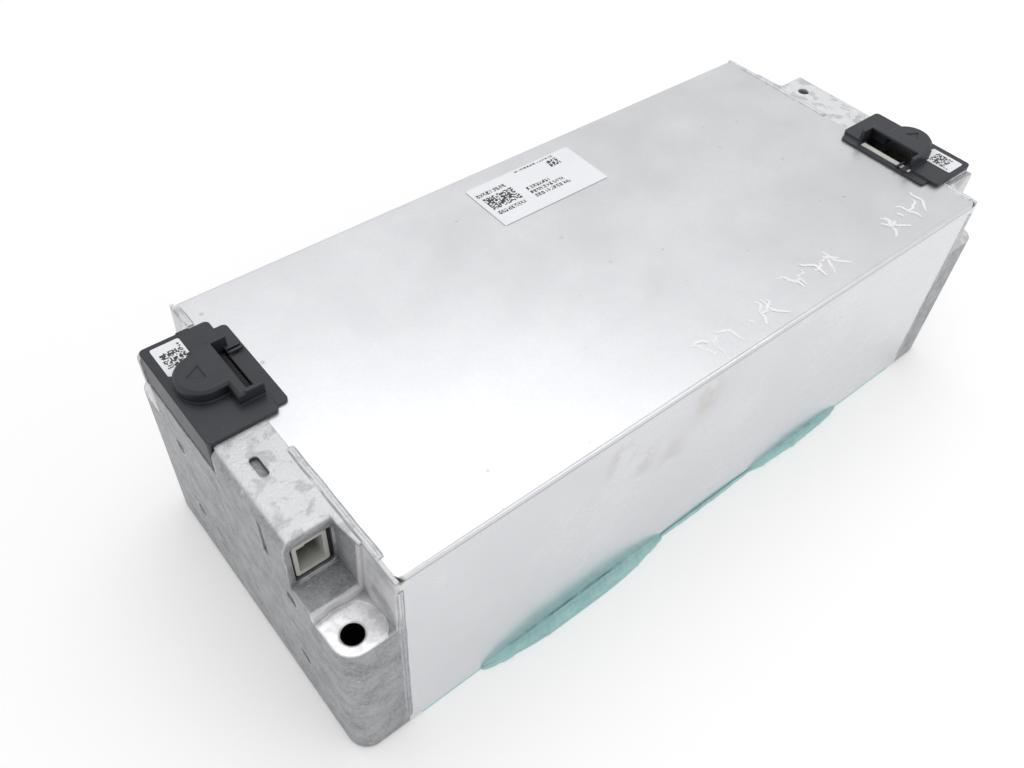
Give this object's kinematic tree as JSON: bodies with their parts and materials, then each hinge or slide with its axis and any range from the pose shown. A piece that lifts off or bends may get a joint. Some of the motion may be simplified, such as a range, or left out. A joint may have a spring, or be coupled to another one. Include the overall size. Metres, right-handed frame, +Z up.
{
  "type": "battery module for an electric car",
  "caption": "Pouch-cell battery module in a welded aluminium housing with cast end plates, corner bolt holes, signal connector and covered terminals.",
  "frame": {"origin": "centre of the footprint of the housing, on the plane that the module rests on", "axes": "+X along the module, with the connector end at -X; +Y across, away from the side where filler is pressed out; +Z up"},
  "size_m": [0.362, 0.1574, 0.1145],
  "materials": {
    "adhesive": "thermal adhesive",
    "base_sheet": "rolled sheet, satin",
    "black_plastic": "moulded, fine grain",
    "board": "circuit board",
    "casting": "die-cast, shot-blasted",
    "copper": "tin-plated copper",
    "cover_sheet": "rolled sheet, satin",
    "cream_plastic": "moulded",
    "filler": "soft thermal gap filler",
    "film": "insulating film",
    "fin_aluminium": "bare sheet",
    "flex_film": "polyimide flex",
    "foam": "compression foam",
    "frame_plastic": "moulded",
    "label_paper": "satin label film",
    "nut_steel": "zinc-plated",
    "pin_metal": "plated contact pins",
    "pouch_film": "laminated aluminium pouch film",
    "seal_rubber": "matte"
  },
  "bodies": {
    "root": {"base_plate": "base_sheet", "cell_01": "pouch_film", "cell_02": "pouch_film", "cell_03": "pouch_film", "cell_04": "pouch_film", "cell_05": "pouch_film", "cell_06": "pouch_film", "cell_07": "pouch_film", "cell_08": "pouch_film", "cell_09": "pouch_film", "cell_10": "pouch_film", "cell_11": "pouch_film", "cell_12": "pouch_film", "cell_adhesive": "adhesive", "connector_pins": "pin_metal", "connector_seal": "seal_rubber", "connector_socket": "cream_plastic", "cooling_fin_1": "fin_aluminium", "cooling_fin_2": "fin_aluminium", "cooling_fin_3": "fin_aluminium", "cooling_fin_4": "fin_aluminium", "cooling_fin_5": "fin_aluminium", "cooling_fin_6": "fin_aluminium", "cover_strip_rear": "cream_plastic", "end_plate_front": "casting", "end_plate_rear": "casting", "foam_pad_1": "foam", "foam_pad_2": "foam", "foam_pad_3": "foam", "foam_pad_4": "foam", "foam_pad_5": "foam", "foam_pad_6": "foam", "foam_pad_7": "foam", "gap_filler": "filler", "housing_cover": "cover_sheet", "insulation_tray_front": "frame_plastic", "insulation_tray_rear": "frame_plastic", "link_busbar_front": "copper", "link_busbar_rear": "copper", "sense_board": "board", "sense_flex": "flex_film", "tab_frame_front": "frame_plastic", "tab_frame_rear": "frame_plastic", "temperature_sensors": "black_plastic", "terminal_busbar_front": "copper", "terminal_busbar_rear": "copper", "terminal_cover_front": "black_plastic", "terminal_cover_rear": "black_plastic", "terminal_holder_front": "cream_plastic", "terminal_holder_rear": "cream_plastic", "terminal_nut_front": "nut_steel", "terminal_nut_rear": "nut_steel", "terminal_tag_front": "label_paper", "terminal_tag_rear": "label_paper", "top_insulation": "film", "top_label": "label_paper"}
  },
  "joints": []
}
